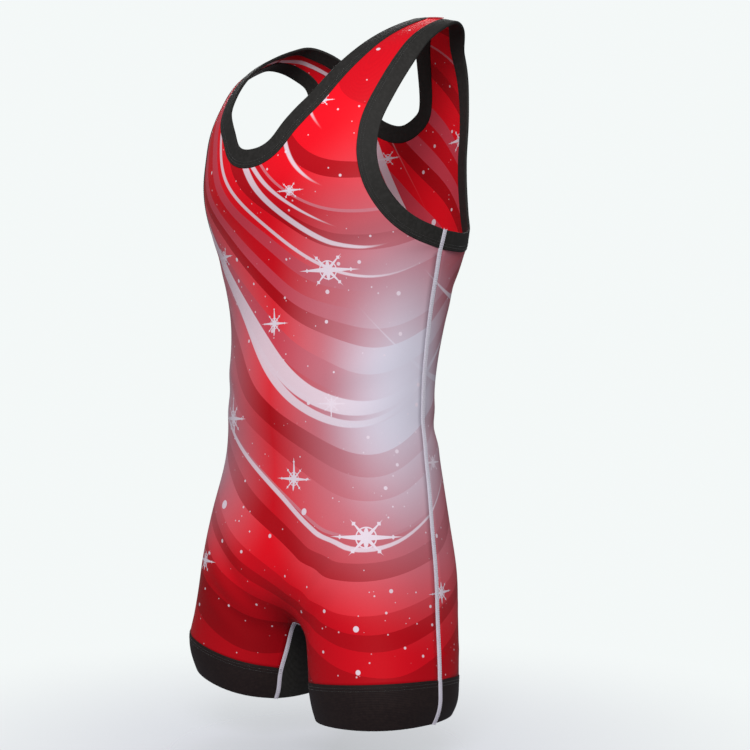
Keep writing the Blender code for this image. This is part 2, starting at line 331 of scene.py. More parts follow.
def clear_folds(bm):
    """Takes out the points inside a skin where its triangles fold back on each other, and fills
    their places with new triangles. The points on the wall's rim stay."""
    rim = {vert for edge in bm.edges if edge.calc_length() < RIM_EDGE for vert in edge.verts}
    folded = {v for edge in bm.edges if edge.calc_face_angle() > FOLDED for v in edge.verts}
    inner = [vert for vert in bm.verts if vert in folded and vert not in rim]
    bmesh.ops.dissolve_verts(bm, verts=inner)
    bmesh.ops.triangulate(bm, faces=[face for face in bm.faces if len(face.verts) > 3])
    return len(inner)


def skin_of(node):
    """A bmesh of the outer skin of a node's wall, in quads, open at its border."""
    bm = bmesh.new()
    bm.from_mesh(frame["nodes"][node].data)
    bmesh.ops.remove_doubles(bm, verts=bm.verts, dist=MERGE)
    cleared = clear_folds(bm)
    outer = {v for face in max(islands(bm)[:2], key=facing_out) for v in face.verts}
    others = [f for f in bm.faces if not outer.issuperset(f.verts)]
    bmesh.ops.delete(bm, geom=others, context="FACES")
    for degrees in JOINING:
        bend, slant = map(math.radians, degrees)
        bmesh.ops.join_triangles(
            bm, faces=bm.faces, angle_face_threshold=bend, angle_shape_threshold=slant
        )
    loose = sum(len(f.verts) != 4 for f in bm.faces)
    print(f"{node}: {len(bm.faces)} faces, {loose} not quads, {cleared} points cleared")
    return bm


# %% [markdown]
# ## From a skin to cloth
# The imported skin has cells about 20 mm wide, so its outline is a chain of short straight lines. Two
# rounds of Catmull-Clark subdivision turn it into a smooth sheet with cells of about 5 mm. Its
# border is smoothed like a curve. Its corners would be rounded off, and leave a small hole where
# three pieces meet, so they get a full crease first. Neighbours that shared a border then still do.
# The modifier is applied at once, because folds and seams are measured from the result.

# %% Smooth a skin
SMOOTHING = 2  # rounds
CORNER = math.radians(50)


def crease_corners(bm):
    """Gives a full crease to the points where the border turns sharply, and counts them."""
    crease_at, corners = bm.verts.layers.float.new("crease_vert"), 0
    for vert in bm.verts:
        ends = [edge.other_vert(vert).co - vert.co for edge in vert.link_edges if edge.is_boundary]
        if len(ends) == 2 and ends[0].angle(-ends[1]) > CORNER:
            vert[crease_at] = 1.0
            corners += 1
    return corners


def applied(piece):
    """The piece with its modifiers applied to its mesh."""
    bpy.context.view_layer.update()
    seen = piece.evaluated_get(bpy.context.evaluated_depsgraph_get())
    mesh, old, name = bpy.data.meshes.new_from_object(seen), piece.data, piece.data.name
    piece.modifiers.clear()
    piece.data = mesh
    bpy.data.meshes.remove(old)
    mesh.name = name
    return piece


skins = []


def smooth_skin(node, name):
    """The skin of a node, subdivided, as a new object."""
    skin = skin_of(node)
    print(name, crease_corners(skin), "corners")
    piece = show(name, mesh_of(skin, name))
    finer = piece.modifiers.new("finer", "SUBSURF")
    finer.levels = finer.render_levels = SMOOTHING
    finer.boundary_smooth = "PRESERVE_CORNERS"
    skins.append(applied(piece))
    return piece


front = smooth_skin("front_panel", "front_cloth")
rear = smooth_skin("back_panel", "back_cloth")
gusset = smooth_skin("crotch_gusset", "gusset_cloth")
bands = {
    f"{where}_{side}": smooth_skin(f"hem_band_{where}_{side}", f"leg_band_{where}_{side}")
    for where in ("front", "back")
    for side in ("left", "right")
}
neck = smooth_skin("neck_binding", "neck_fold")
arms = {
    side: smooth_skin(f"armhole_binding_{side}", f"armhole_fold_{side}")
    for side in ("left", "right")
}
panels = [front, rear]
folds = [neck, *arms.values()]


def count_faces(pieces):
    """Prints how many faces each piece has."""
    for piece in pieces:
        print(piece.name, len(piece.data.polygons), "faces")


count_faces(skins)

# %% [markdown]
# ## Soft creases
# Stretch knit lies smooth on the figure, and bends only where the figure does: in the groin, below
# the seat, in the waist and under the arms. A crease is a soft trough with a low swell beside it.
# It could be simulated, but a simulation of so tight a suit moves the cloth by less than its wall.
# So each crease is a curved line through three places on the suit, uneven from one side to the
# other, and every skin sinks by its distance from the line. Neighbouring skins sink together.

# %% Sink a crease into the skins
def tree_of(points):
    """A search tree over points."""
    tree = KDTree(len(points))
    for i, point in enumerate(points):
        tree.insert(point, i)
    tree.balance()
    return tree


def with_normals(vertices):
    """An array with each vertex's place and normal in a row."""
    return np.array([[*vert.co, *vert.normal] for vert in vertices])


SWELL = 0.3  # the swell's height beside the trough's depth
SWELL_AT, SWELL_SPREAD = 1.9, 0.6  # in widths of the trough
BLUNT = 0.8  # less is blunter at a trough's ends
CREASE_POINTS = 40


def crease(places, depth, width):
    """A trough along the curve through three places, with a low swell beside it."""
    start, middle, end = np.array(places)
    share = np.linspace(0, 1, CREASE_POINTS)
    t, control = share[:, None], 2 * middle - (start + end) / 2
    line = (1 - t) ** 2 * start + 2 * t * (1 - t) * control + t**2 * end
    for piece in skins:
        points, normals = np.split(with_normals(piece.data.vertices), 2, axis=1)
        away = np.linalg.norm(points[:, None] - line[None], axis=2)
        nearest = away.argmin(axis=1)
        r = away.min(axis=1) / width
        swell = SWELL * np.exp(-((r - SWELL_AT) ** 2) / SWELL_SPREAD)
        fade = np.sin(np.pi * share[nearest]) ** BLUNT
        points += normals * ((swell - np.exp(-(r**2))) * fade * depth)[:, None]
        piece.data.vertices.foreach_set("co", points.ravel())
        piece.data.update()


surface = tree_of([v.co for piece in panels for v in piece.data.vertices])
CREASES = (
    # three places, depth and width in millimetres, the depth's share on the left and the right
    (((26, -70, -660), (70, -100, -602), (125, -80, -540)), 3.0, 11, (1.0, 0.8)),
    (((30, -60, -684), (62, -95, -652), (104, -90, -622)), 2.0, 9, (0.8, 1.1)),
    (((150, -10, -232), (135, -75, -262), (100, -110, -270)), 1.4, 11, (1.0, 0.7)),
    (((145, 10, -385), (120, -80, -405), (70, -110, -400)), 1.4, 13, (0.9, 1.1)),
    (((146, 15, -430), (125, 80, -445), (75, 120, -432)), 2.0, 12, (1.0, 0.8)),
    (((150, 20, -250), (135, 80, -285), (95, 110, -300)), 1.5, 12, (0.8, 1.0)),
    (((30, 70, -660), (80, 105, -640), (130, 70, -620)), 3.0, 11, (1.0, 0.85)),
    (((28, 60, -690), (65, 90, -672), (100, 80, -665)), 2.0, 9, (1.1, 0.8)),
)
HIGHER = 0.006  # a crease of no depth would lie this much higher
for side, sign in enumerate((1, -1)):
    for places, depth, width, shares in CREASES:
        share = shares[side]
        rise = HIGHER * (1 - share)
        placed = [surface.find((x * sign, y, z + rise))[0] for x, y, z in np.array(places) / 1000]
        crease(placed, depth / 1000 * share, width / 1000)
print(2 * len(CREASES), "creases")

# %% [markdown]
# ## Where the seams run
# A seam lies where two skins have their borders together. So a border's points are kept if another
# skin's border is close by, and walked in order from end to end. Every seam line is then spaced
# evenly, with the cloth's normal at each point, because stitches have one length.

# %% Walk along a seam
TOGETHER = 0.0013  # borders closer than this are sewn
STRAY = 5  # points
SHORTEST = 4  # points
EVENING = 2  # rounds


def border_of(piece):
    """The piece's border: from each border point's number to its neighbours' numbers."""
    uses = {}
    for face in piece.data.polygons:
        for edge in face.edge_keys:
            uses[edge] = uses.get(edge, 0) + 1
    ring = {}
    for (a, b), count in uses.items():
        if count == 1:
            ring.setdefault(a, []).append(b)
            ring.setdefault(b, []).append(a)
    return ring


def beside_points(piece, others):
    """The numbers of the piece's border points that lie beside others' borders."""
    near = tree_of([other.data.vertices[i].co for other in others for i in border_of(other)])
    return {i for i in border_of(piece) if near.find(piece.data.vertices[i].co)[2] < TOGETHER}


def loops_of(piece):
    """The piece's border loops, each a list of point numbers in order."""
    ring, loops = border_of(piece), []
    while ring:
        loop, onward = [], [min(ring)]
        while onward and onward[0] not in loop[:1]:
            loop.append(onward[0])
            onward = [n for n in ring[loop[-1]] if n not in loop[-2:] and n in ring]
        for i in loop:
            ring.pop(i)
        loops.append(loop)
    return loops


def runs_beside(piece, others):
    """The stretches of the piece's border that lie beside others' borders, as arrays of points and
    normals in order, the longest first. A few points that stray don't break a stretch."""
    sewn, vertices, runs = beside_points(piece, others), piece.data.vertices, []
    for loop in loops_of(piece):
        beside = np.flatnonzero([i in sewn for i in loop])
        if not len(beside):
            continue
        # start after the widest gap, which may lie across the loop's own start
        start = beside[np.diff(beside, prepend=beside[-1] - len(loop)).argmax()]
        loop = loop[start:] + loop[:start]
        beside = np.sort((beside - start) % len(loop))
        breaks = np.flatnonzero(np.diff(beside) > STRAY + 1) + 1
        runs += [loop[part[0] : part[-1] + 1] for part in np.split(beside, breaks)]
    runs = sorted((run for run in runs if len(run) > SHORTEST), key=len, reverse=True)
    return [with_normals(vertices[i] for i in run) for run in runs]


def rising(run):
    """The run in the order that goes up."""
    return run if run[-1, 2] > run[0, 2] else run[::-1]


def steps_of(run):
    """The distances from point to point along a run."""
    return np.linalg.norm(np.diff(run[:, :3], axis=0), axis=1)


def unit(rows):
    """The rows of an array as unit vectors."""
    return rows / np.linalg.norm(rows, axis=1, keepdims=True)


def evenly(run, step):
    """Points a step apart along the run, with unit vectors outwards, along it and to its side."""
    run = run[np.r_[True, steps_of(run) > 1e-6]]
    along = np.r_[0, np.cumsum(steps_of(run))]
    at = np.linspace(0, along[-1], max(4, int(round(along[-1] / step)) + 1))
    out = np.stack([np.interp(at, along, column) for column in run.T], axis=1)
    for _ in range(EVENING):
        out[1:-1] = (out[:-2] + 2 * out[1:-1] + out[2:]) / 4
    points, normals = out[:, :3], unit(out[:, 3:])
    along = unit(np.gradient(points, axis=0))
    return points, normals, along, unit(np.cross(along, normals))


# %% Side seams, from the hem up over the armhole's edge
def across_fold(fold, start):
    """The line straight over an armhole's fold, from the top of the side seam to the opening."""
    bm = bmesh.new()
    bm.from_mesh(fold.data)
    here = min((v for v in bm.verts if v.is_boundary), key=lambda v: (v.co - Vector(start)).length)
    line, edge = [here], next(e for e in here.link_edges if not e.is_boundary)
    while edge:
        here = edge.other_vert(here)
        line.append(here)
        beside = {e for f in edge.link_faces for e in f.edges}
        edge = next((e for e in here.link_edges if e not in beside), None)
    line = with_normals(line)
    bm.free()
    return line


KNIT, BAND, TAPE = 0.0016, 0.0024, 0.0030  # the walls' thicknesses
SIDE_BELOW = -0.2  # a side seam's middle is lower than this
SHOULDER_ABOVE = -0.1  # and a shoulder seam's is higher than this


def sunk(run, wall):
    """The same run on the wall's inner face, facing inwards."""
    return np.c_[run[:, :3] - run[:, 3:] * wall, -run[:, 3:]]


lines, shoulder_lines = {}, {}  # by a seam's name, its run outside and its run within
for side, sign in (("left", 1), ("right", -1)):
    runs = [r for r in runs_beside(front, [rear]) if r[:, 0].mean() * sign > 0]
    long_run = rising(next(r for r in runs if r[:, 2].mean() < SIDE_BELOW))
    strap_run = next(r for r in runs if r[:, 2].mean() > SHOULDER_ABOVE)
    band_run = rising(runs_beside(bands[f"front_{side}"], [bands[f"back_{side}"]])[0])
    fold_run = across_fold(arms[side], long_run[-1, :3])
    shoulder_lines[f"shoulder_seam_{side}"] = strap_run, sunk(strap_run, KNIT)
    lines[f"side_seam_{side}"] = (
        np.vstack([band_run, long_run, fold_run[1:]]),
        np.vstack([sunk(band_run, BAND), sunk(long_run[1:-1], KNIT), sunk(fold_run, TAPE)]),
    )
    print(side, "side seam,", len(long_run), "points,", len(fold_run), "more over the fold")

# %% Gusset seams, from hem to hem over the crotch
for where, panel in (("front", front), ("back", rear)):
    run = runs_beside(gusset, [panel, bands[f"{where}_left"], bands[f"{where}_right"]])[0]
    lines[f"inner_seam_{where}"] = run, sunk(run, BAND)
    print(where, "gusset seam,", len(run), "points")

# %% [markdown]
# ## Flat seams
# The panels of such suits are joined edge to edge by a flat cover seam, so that nothing rubs on the
# mat. Two needles sew the rows at its sides, and a soft pale thread crosses from one to the other,
# so densely that the seam reads as a pale ribbon 5 mm wide. Here each stitch of a row is a small
# grain and the crossing thread is a curve with a round section. Both lie on a thin bed of thread.
# The inner face of the cloth shows only a bed and the two rows.

# %% Threads
SEAM_WIDTH = 0.0050
SHOULDER_SEAM_WIDTH = 0.0036
STITCH = 0.0024  # its length
THREAD = 0.00030  # its radius
TIGHT = 0.82  # a stitch's share of its length, the rest is the gap to the next
BED_STEPS = (  # out from the middle as a share of the width, down as a share of the height
    (0.30, 0.0), (0.16, 0.35), (0.04, 0.75)
)
BED_HEIGHT, ROW_HEIGHT, CROSSING_HEIGHT = 0.0005, 0.0006, 0.0008
ROW_AT = 0.46  # a row's place, as a share of the width
SIDE_DIP = 0.6  # the crossing thread's dip at the rows, as a share of its height


def add_to(bm, mesh):
    """Adds a mesh to a bmesh, and deletes the mesh."""
    bm.from_mesh(mesh)
    bpy.data.meshes.remove(mesh)


def thread_bed(run, width):
    """A thin ribbon along a run, as a mesh. Its middle line is extruded to both sides in steps."""
    points, normals, _, side = evenly(run, STITCH)
    bm = bmesh.new()
    spine = [bm.verts.new(p + n * BED_HEIGHT) for p, n in zip(points, normals)]
    row = [bm.edges.new(pair) for pair in zip(spine, spine[1:])]
    for way in (-1, 1):
        edges, verts = row, spine
        for step, sink in BED_STEPS:
            grown = bmesh.ops.extrude_edge_only(bm, edges=edges)["geom"]
            fresh = {v for v in grown if isinstance(v, bmesh.types.BMVert)}
            beside = [[edge.other_vert(v) for edge in v.link_edges] for v in verts]
            verts = [next(v for v in near if v in fresh) for near in beside]
            edges = [bm.edges.get(pair) for pair in zip(verts, verts[1:])]
            for v, across, n in zip(verts, side, normals):
                v.co += Vector(across * way * step * width - n * sink * BED_HEIGHT)
    bmesh.ops.recalc_face_normals(bm, faces=bm.faces)
    if sum(v.normal.dot(Vector(n)) for v, n in zip(spine, normals)) < 0:
        bmesh.ops.reverse_faces(bm, faces=bm.faces)
    return mesh_of(bm, "bed")


def crossing_thread(run, width, phase):
    """A thread that crosses from side to side along a run, as a mesh. It has two points to each
    stitch, so one whole swing takes four."""
    points, normals, _, side = evenly(run, STITCH / 2)
    wave = np.arange(len(points)) / 4 + phase
    swing = 1 - 4 * np.abs((wave % 1) - 0.5)
    lift = CROSSING_HEIGHT * (1 - SIDE_DIP * swing**2)
    path = points + side * (swing * width / 2)[:, None] + normals * lift[:, None]
    curve = bpy.data.curves.new("crossing", "CURVE")
    curve.dimensions = "3D"
    curve.bevel_depth = THREAD
    curve.bevel_resolution = 0
    curve.use_fill_caps = True
    spline = curve.splines.new("POLY")
    spline.points.add(len(path) - 1)
    spline.points.foreach_set("co", np.c_[path, np.ones(len(path))].ravel())
    holder = bpy.data.objects.new("crossing", curve)
    mesh = bpy.data.meshes.new_from_object(holder)
    bpy.data.objects.remove(holder)
    bpy.data.curves.remove(curve)
    return mesh


bm = bmesh.new()
bmesh.ops.create_uvsphere(bm, u_segments=6, v_segments=4, radius=1)
bmesh.ops.rotate(bm, verts=bm.verts, matrix=Matrix.Rotation(math.pi / 2, 3, "X"))
grain = mesh_of(bm, "grain")


def stitch_row(bm, run, offset, height, pitch=STITCH, radius=THREAD, share=TIGHT):
    """Lays copies of the grain end to end along a run, into a bmesh."""
    points, normals, along, side = evenly(run, pitch)
    middle = points + side * offset + normals * height
    for axes in zip(side * radius, along * pitch * share / 2, normals * radius, middle):
        stitch = grain.copy()
        stitch.transform(Matrix([(*axis, 0) for axis in axes[:3]] + [(*axes[3], 1)]).transposed())
        add_to(bm, stitch)


def flat_seam(name, run, within, width=SEAM_WIDTH):
    """A whole flat seam as one object: its crossing threads outside, and its rows on both faces."""
    bm = bmesh.new()
    add_to(bm, thread_bed(run, width))
    for phase in (0.0, 0.5):
        add_to(bm, crossing_thread(run, width, phase))
    add_to(bm, thread_bed(within, width))
    for face in (run, within):
        for way in (-1, 1):
            stitch_row(bm, face, way * ROW_AT * width, ROW_HEIGHT)
    return show(name, mesh_of(bm, name))


seams = [flat_seam(name, *runs) for name, runs in lines.items()]
shoulder_seams = [
    flat_seam(name, *runs, SHOULDER_SEAM_WIDTH) for name, runs in shoulder_lines.items()
]
count_faces(seams + shoulder_seams)

# %% [markdown]
# ## Ways over the cloth
# Knit loops and ribs follow the cloth, so their pattern needs to know how far each point is from a
# seam. A flat unwrap would have to cut the skins. Instead the shortest way over the cloth is walked
# from a border, along the edges and across the cells, and it is kept on the mesh as an attribute:
# how far along, and how far up.

# %% Measure the ways
def way_from(piece, starts):
    """Each point's shortest way over the cloth from the nearest start, in metres."""
    vertices, links = [v.co.copy() for v in piece.data.vertices], {}
    for face in piece.data.polygons:
        for a, b in permutations(face.vertices, 2):
            links.setdefault(a, {})[b] = (vertices[a] - vertices[b]).length
    ways = {i: 0.0 for i in starts}
    queue = [(0.0, i) for i in starts]
    heapq.heapify(queue)
    while queue:
        way, here = heapq.heappop(queue)
        if way > ways[here]:
            continue
        for there, step in links[here].items():
            if way + step < ways.get(there, math.inf):
                ways[there] = way + step
                heapq.heappush(queue, (way + step, there))
    return [ways.get(i, 0.0) for i in range(len(vertices))]


def lay_out(piece, along, up):
    """Keeps how far along and how far up each point is, as the attribute cut."""
    cut = piece.data.attributes.new("cut", "FLOAT_VECTOR", "POINT")
    cut.data.foreach_set("vector", np.c_[along, up, np.zeros(len(along))].ravel())


UNDER_STRAPS = -0.15  # a side seam is lower than this

for panel, other in (panels, panels[::-1]):
    vertices = panel.data.vertices
    seam_side = {i for i in beside_points(panel, [other]) if vertices[i].co.z < UNDER_STRAPS}
    lay_out(panel, way_from(panel, seam_side), [v.co.z for v in vertices])
across = [v.co.x for v in gusset.data.vertices]
lay_out(gusset, across, way_from(gusset, beside_points(gusset, [front])))
for key, band in bands.items():
    where, side = key.split("_")
    other = bands[("back_" if where == "front" else "front_") + side]
    hem = border_of(band).keys() - beside_points(band, [*panels, other, gusset])
    from_hem = way_from(band, hem)
    lay_out(band, way_from(band, beside_points(band, [other])), from_hem)
    print(band.name, "height", round(max(from_hem), 4))
for fold in folds:
    vertices = fold.data.vertices
    top = min(range(len(vertices)), key=lambda i: abs(vertices[i].co.x))
    lay_out(fold, way_from(fold, [top]), way_from(fold, beside_points(fold, panels)))

# %% [markdown]
# ## Cover stitches on the bindings and bands
# The binding is a tape folded over the cloth's raw edge, and two rows of dark cover stitch hold it
# down near the edge that is sewn. The leg bands have the same rows below their top edge. The rows
# start from the border that lies beside a panel, and move in by 2 and by 5 mm.

# %% Lay the rows
ROWS = (0.0020, 0.0050)
COVER_STITCH, COVER_THREAD, COVER_TIGHT = 0.0026, 0.00026, 0.75
COVER_HEIGHT = 0.0001
LOOK = 0.004  # this far to each side of a border tells which side the cloth is on


def cover_stitch(piece, others, closed):
    """Two rows of stitches inside the piece's sewn borders, named like the piece."""
    bm = bmesh.new()
    cloth = tree_of([v.co for v in piece.data.vertices])
    for run in runs_beside(piece, others):
        if closed:
            run = np.vstack([run, run[:1]])
        points, _, _, side = evenly(run, 2.5 * LOOK)
        ahead = sum(cloth.find(p + s * LOOK)[2] for p, s in zip(points, side))
        behind = sum(cloth.find(p - s * LOOK)[2] for p, s in zip(points, side))
        way = 1 if ahead < behind else -1
        for row in ROWS:
            stitch_row(bm, run, way * row, COVER_HEIGHT, COVER_STITCH, COVER_THREAD, COVER_TIGHT)
    name = piece.name.replace("fold", "stitches").replace("band", "stitches")
    return show(name, mesh_of(bm, name))


panel_beside = {key: front if key.startswith("front") else rear for key in bands}
rows = {fold.name: cover_stitch(fold, panels, True) for fold in folds}
for key, band in bands.items():
    rows[band.name] = cover_stitch(band, [panel_beside[key]], False)
count_faces(rows.values())

# %% [markdown]
# ## Laps
# A folded tape and a leg band hold the panel's raw edge between their two faces. On the packed
# model they only meet it. So the border points that are sewn move a little way out over the panel,
# away from the middle of their own cells, and the wall that they get next is thick enough to
# enclose the panel's wall.

# %% Lap the bindings and bands over the panels
LAP = 0.0016


def lap_over(piece, others):
    """Moves the piece's sewn border points out over its neighbours."""
    sewn, border, inward = beside_points(piece, others), border_of(piece), {}
    vertices = piece.data.vertices
    for face in piece.data.polygons:
        within = [vertices[j].co for j in face.vertices if j not in border]
        for i in sewn.intersection(face.vertices):
            inward.setdefault(i, []).extend(within)
    for i, within in inward.items():
        if within:
            way = vertices[i].co - sum(within, Vector()) / len(within)
            way -= way.dot(vertices[i].normal) * vertices[i].normal
            vertices[i].co += way.normalized() * LAP
    piece.data.update()
    print(piece.name, len(inward), "points lapped")


for fold in folds:
    lap_over(fold, panels)
for key, band in bands.items():
    lap_over(band, [panel_beside[key]])

# %% [markdown]
# ## Walls
# Cloth has two faces and an edge. Solidify sets the inner face behind the skin. The wall is as
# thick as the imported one, and a leg band's a little more, because it encloses the panel's edge. The
# folded bindings and the leg bands end in a soft fold, so their edges get a small round bevel.

# %% Thicken the skins
ROUND = 0.0008
FOLD_EDGE = math.radians(55)  # a sharper edge is rounded
ROUND_STEPS = 2


def thicken(piece, wall, round_edge=0.0):
    """Gives a skin its inner face and its edge."""
    modifier = piece.modifiers.new("wall", "SOLIDIFY")
    modifier.thickness = wall
    modifier.offset = -1
    if round_edge:
        bevel = piece.modifiers.new("fold", "BEVEL")
        bevel.limit_method = "ANGLE"
        bevel.angle_limit = FOLD_EDGE
        bevel.width = round_edge
        bevel.segments = ROUND_STEPS
    applied(piece)
    piece.data.shade_smooth()


for piece in (*panels, gusset):
    thicken(piece, KNIT)
for band in bands.values():
    thicken(band, BAND, ROUND)
for fold in folds:
    thicken(fold, TAPE, ROUND)
count_faces(skins)

# %% [markdown]
# ## Knit
# Each panel is a jersey of stretch yarn, with loops a little under a millimetre wide that run in
# columns. A column shows a row of small Vs. The group takes the way over the cloth, folds it into
# columns, tilts the rows to both sides of each column, and puts out the loops' height. A finish
# takes its bumps from that, and a faint painted shade for the gaps between the loops.

# %% Knit loops as a group
RIDGE = 0.6  # less is rounder across a column

knit_loops, given, out = new_group("knit_loops", ["Cut"], ["Column", "Row"], ["Height"])
do = partial(calc, knit_loops)
along, up, _ = put(knit_loops, "SeparateXYZ", given["Cut"]).outputs
column = do("FRACT", do("DIVIDE", along, given["Column"]))
row = do("ADD", do("DIVIDE", up, given["Row"]), do("ABSOLUTE", do("SUBTRACT", column, 0.5)))
loop = do("ABSOLUTE", do("SINE", do("MULTIPLY", row, math.pi)))
ridge = do("POWER", do("SINE", do("MULTIPLY", column, math.pi)), RIDGE)
feed(knit_loops, out["Height"], do("MULTIPLY", loop, ridge))

# %% Ribs of tape and elastic as a group
YARN_SHARE = 0.12  # the part of a rib's height that its yarn makes

tape_ribs, given, out = new_group("tape_ribs", ["Cut"], ["Pitch"], ["Height"])
do = partial(calc, tape_ribs)
along, up, _ = put(tape_ribs, "SeparateXYZ", given["Cut"]).outputs
rib = do("ABSOLUTE", do("SINE", do("MULTIPLY", do("DIVIDE", up, given["Pitch"]), math.pi)))
yarn = do("SINE", do("MULTIPLY", do("DIVIDE", along, given["Pitch"]), 2 * math.pi))
yarn = do("MULTIPLY_ADD", yarn, YARN_SHARE, 1 - YARN_SHARE)
feed(tape_ribs, out["Height"], do("MULTIPLY", rib, yarn))

# %% Fuzz as a group
fuzz, given, out = new_group("fuzz", ["Place"], ["Scale"], ["Tone"])
grainy = {"Detail": 3, "Scale": given["Scale"]}
noise = put(fuzz, "TexNoise", given["Place"], named=grainy)
feed(fuzz, out["Tone"], noise.outputs["Fac"])

# %% [markdown]
# ## The print
# The suit is dyed by sublimation: bright and deep red waves sweep round the figure, pale crescents
# ride on them, a pale glow lies on each side of the waist, and sparkles, rings and dots are strewn
# over it. The waves are drawn in space and not on a flat cut, so they meet at every seam. Each wave
# is a shell round a far centre. A crescent lies inside one sphere and outside another that is a
# little off it, so that it tapers to both ends.

# %% A crescent as a group
SOFT = 0.0010  # metres over which a crescent's edge fades
VANISHES, WHOLE = 0.0012, 0.0032  # a crescent fades where it gets thinner than this

crescent, given, out = new_group(
    "crescent", ["Place", "Outer", "Inner"], ["Outer Radius", "Inner Radius"], ["Mask"]
)
do, step = partial(calc, crescent), partial(soft_step, crescent)
place, far = given["Place"], partial(calc_vector, crescent, "DISTANCE")
inside = do("SUBTRACT", given["Outer Radius"], far(place, given["Outer"]))
outside = do("SUBTRACT", far(place, given["Inner"]), given["Inner Radius"])
mask = do("MULTIPLY", step(inside, 0, SOFT), step(outside, 0, SOFT))
mask = do("MULTIPLY", mask, step(do("ADD", inside, outside), VANISHES, WHOLE))
feed(crescent, out["Mask"], mask)

# %% A sparkle as a group
SLIM = 0.085  # a point's half width beside its reach
SHORT_REACH = 0.66  # of the four points on the slant; the other four reach to 1
TIPS_AT, SLANT_TIPS_AT, TIP = 0.72, 0.50, (0.075, 0.05)
RING_AT, RING, HEART = 0.27, (0.024, 0.010), (0.11, 0.07)
END = (1.04, 0.94)  # a point fades out between these shares of its reach

sparkle, given, out = new_group("sparkle", ["Place", "Centre"], ["Reach"], ["Mask"])
do, step = partial(calc, sparkle), partial(soft_step, sparkle)
apart = calc_vector(sparkle, "SUBTRACT", given["Place"], given["Centre"])
apart = calc_vector(sparkle, "SCALE", apart, Scale=do("DIVIDE", 1.0, given["Reach"]))
far = calc_vector(sparkle, "LENGTH", apart)
x, y, z = put(sparkle, "SeparateXYZ", apart).outputs
level = do("SQRT", do("ADD", do("POWER", x, 2.0), do("POWER", y, 2.0)))
rise = do("ABSOLUTE", z)


def four_points(one, two, reach):
    """A star of four thin straight points from two distances."""
    lies = do("ADD", one, do("DIVIDE", two, SLIM))
    stands = do("ADD", two, do("DIVIDE", one, SLIM))
    return step(do("MINIMUM", lies, stands), *(reach * share for share in END))


def between(one, two):
    """The distance between two numbers."""
    return do("ABSOLUTE", do("SUBTRACT", one, two))


slant = do("MULTIPLY", do("ADD", level, rise), math.sqrt(0.5))
other = do("MULTIPLY", between(level, rise), math.sqrt(0.5))
tips = do("ADD", between(slant, SLANT_TIPS_AT), other)
for one, two in ((level, rise), (rise, level)):
    tips = do("MINIMUM", tips, do("ADD", between(one, TIPS_AT), two))
star = four_points(level, rise, 1.0)
for part in (
    four_points(slant, other, SHORT_REACH),
    step(tips, *TIP),
    step(between(far, RING_AT), *RING),
    step(far, *HEART),
):
    star = do("MAXIMUM", star, part)
feed(sparkle, out["Mask"], star)

# %% Strewn dots as a group
SMALLEST = 0.3  # of the largest dot's radius
DOT_EDGE = (-0.0002, 0.0003)

strewn, given, out = new_group("strewn_dots", ["Place"], ["Per Metre", "Radius"], ["Mask"])
do = partial(calc, strewn)
cells = put(strewn, "TexVoronoi", given["Place"], named={"Scale": given["Per Metre"]})
far = do("DIVIDE", cells.outputs["Distance"], given["Per Metre"])
lot = put(strewn, "SeparateColor", cells.outputs["Color"]).outputs[0]
radius = do("MULTIPLY", given["Radius"], do("MULTIPLY_ADD", lot, 1 - SMALLEST, SMALLEST))
dot = soft_step(strewn, do("SUBTRACT", radius, far), *DOT_EDGE)
feed(strewn, out["Mask"], dot)

# %% The print as a group
BRIGHT, LIVELY, DEEP, DARKEST = (
    (0.82, 0.005, 0.015),
    (0.62, 0.004, 0.012),
    (0.42, 0.003, 0.008),
    (0.26, 0.002, 0.005),
)
ROSE, PINK, MIST = (0.60, 0.055, 0.085), (0.66, 0.17, 0.21), (0.46, 0.22, 0.27)
PALE, GLOW = (0.74, 0.64, 0.72), (0.62, 0.60, 0.70)
WAVE_CENTRE = (0.42, -0.34, 0.22)
WAVES_START, WAVES_END = 0.47, 1.20
WAVES = (
    # metres from the centre, tone
    (0.470, BRIGHT), (0.520, LIVELY), (0.550, BRIGHT), (0.585, DEEP), (0.597, BRIGHT),
    (0.622, PINK), (0.625, LIVELY), (0.645, DEEP), (0.660, BRIGHT), (0.684, ROSE),
    (0.700, LIVELY), (0.716, ROSE), (0.730, DEEP), (0.746, BRIGHT), (0.765, ROSE),
    (0.786, LIVELY), (0.800, PINK), (0.804, BRIGHT), (0.832, DEEP), (0.850, LIVELY),
    (0.872, BRIGHT), (0.900, PINK), (0.903, LIVELY), (0.922, DEEP), (0.940, BRIGHT),
    (0.972, LIVELY), (0.990, DEEP), (1.004, LIVELY), (1.026, DEEP), (1.056, DARKEST),
    (1.095, DEEP), (1.130, DARKEST),
)
CRESCENTS = {
    # outer centre: inner centre, outer and inner radius
    (0.40, -0.36, 0.14): (
        ((0.43, -0.33, 0.13), 0.500, 0.497),
        ((0.42, -0.32, 0.15), 0.565, 0.562),
        ((0.41, -0.35, 0.145), 0.606, 0.606),
    ),
    (0.38, -0.38, 0.10): (
        ((0.42, -0.35, 0.12), 0.688, 0.694),
        ((0.39, -0.37, 0.105), 0.790, 0.789),
    ),
    (0.45, 0.30, 0.10): (((0.47, 0.27, 0.11), 0.560, 0.562), ((0.47, 0.27, 0.11), 0.640, 0.641)),
    (0.36, -0.40, 0.02): (
        ((0.39, -0.37, 0.03), 0.468, 0.470),
        ((0.38, -0.38, 0.03), 0.512, 0.511),
        ((0.38, -0.385, 0.03), 0.640, 0.641),
    ),
}
GLOW_PLACE = (0.155, 0.0, -0.40)

